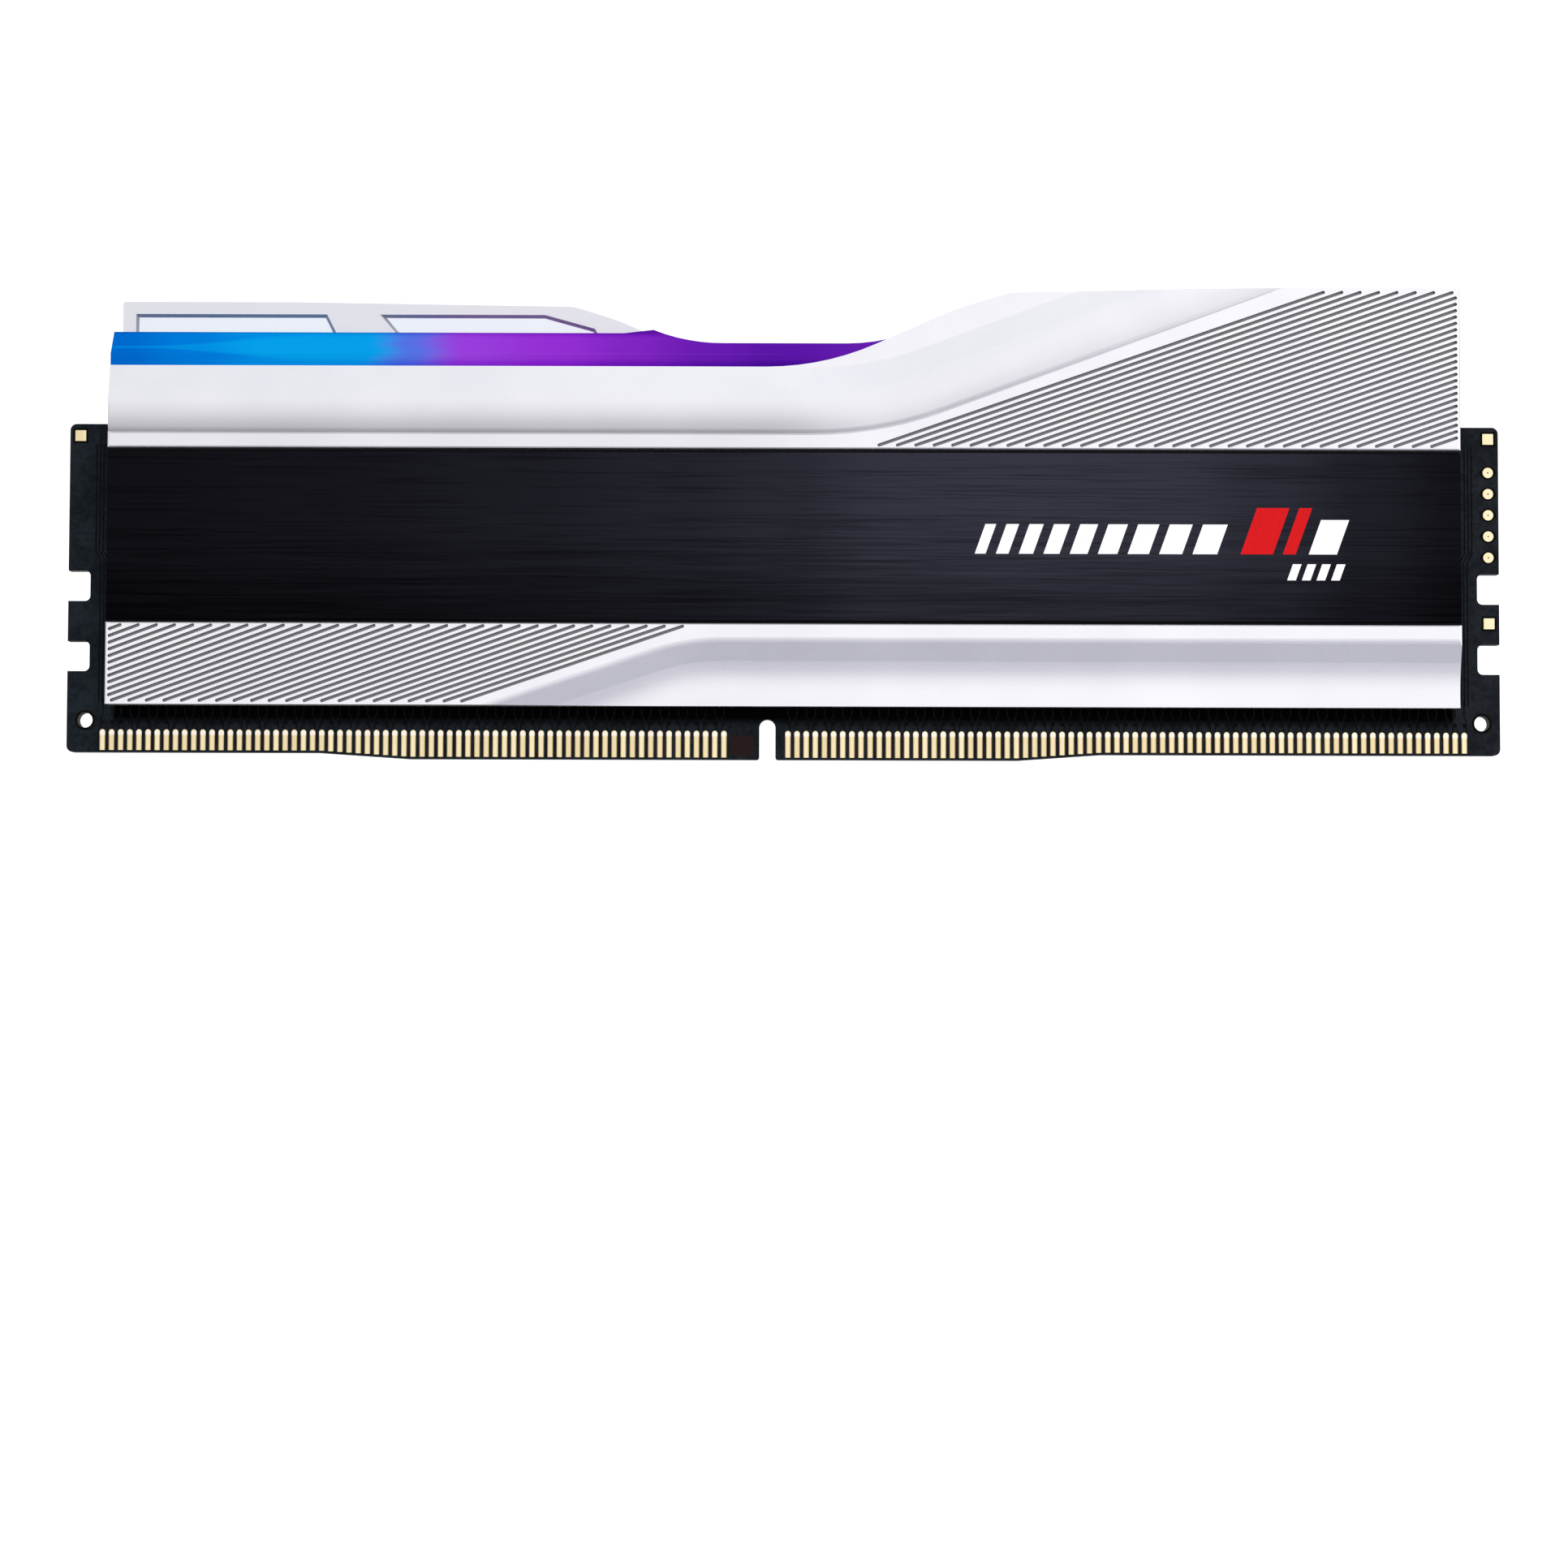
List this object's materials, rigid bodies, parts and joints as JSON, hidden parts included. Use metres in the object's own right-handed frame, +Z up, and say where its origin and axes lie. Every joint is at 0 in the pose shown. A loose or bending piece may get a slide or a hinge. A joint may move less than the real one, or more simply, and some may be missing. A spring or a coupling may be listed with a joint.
{
  "type": "ram module",
  "caption": "Desktop memory module with a sculpted two-sided metal heat spreader, brushed black plates, a diffuser light bar along its top and a gold contact edge.",
  "frame": {"origin": "middle of the contact edge on the board's mid-plane, at the lowest point of the edge", "axes": "+X along the module, +Z up from the contact edge, front of the module towards -Y"},
  "size_m": [0.1334, 0.0086, 0.0437],
  "materials": {
    "solder_mask": "black solder mask over fibreglass, satin",
    "gold_plating": "gold plating, bright",
    "chip_epoxy": "moulded epoxy, matte",
    "ferrite": "pressed ferrite, matte",
    "capacitor_ceramic": "ceramic, satin",
    "resistor_body": "glazed black",
    "led_package": "white package with clear resin",
    "thermal_pad": "soft silicone, matte",
    "silver_aluminium": "fine blasted, silver-white anodised",
    "black_anodised": "hairline brushed, black anodised",
    "white_ink": "printed ink",
    "red_ink": "printed ink",
    "light_diffuser": "milky diffuser, lit"
  },
  "bodies": {
    "root": {"brushed_plate_front": "black_anodised", "brushed_plate_rear": "black_anodised", "bulk_capacitors": "capacitor_ceramic", "circuit_board": "solder_mask", "decoupling_capacitors": "capacitor_ceramic", "edge_contacts_front": "gold_plating", "edge_contacts_rear": "gold_plating", "fiducial_pads": "gold_plating", "heat_spreader_front": "silver_aluminium", "heat_spreader_rear": "silver_aluminium", "led_driver_chip": "chip_epoxy", "light_bar": "light_diffuser", "memory_chip_1": "chip_epoxy", "memory_chip_2": "chip_epoxy", "memory_chip_3": "chip_epoxy", "memory_chip_4": "chip_epoxy", "memory_chip_5": "chip_epoxy", "memory_chip_6": "chip_epoxy", "memory_chip_7": "chip_epoxy", "memory_chip_8": "chip_epoxy", "power_inductor_1": "ferrite", "power_inductor_2": "ferrite", "power_inductor_3": "ferrite", "power_management_chip": "chip_epoxy", "red_print_front": "red_ink", "red_print_rear": "red_ink", "rgb_led_1": "led_package", "rgb_led_2": "led_package", "rgb_led_3": "led_package", "rgb_led_4": "led_package", "rgb_led_5": "led_package", "rgb_led_6": "led_package", "rgb_led_7": "led_package", "rgb_led_8": "led_package", "series_resistors": "resistor_body", "spd_hub_chip": "chip_epoxy", "test_pads": "gold_plating", "thermal_pad_inductors": "thermal_pad", "thermal_pad_left": "thermal_pad", "thermal_pad_power_chip": "thermal_pad", "thermal_pad_rear": "thermal_pad", "thermal_pad_right": "thermal_pad", "white_print_front": "white_ink", "white_print_rear": "white_ink"}
  },
  "joints": []
}
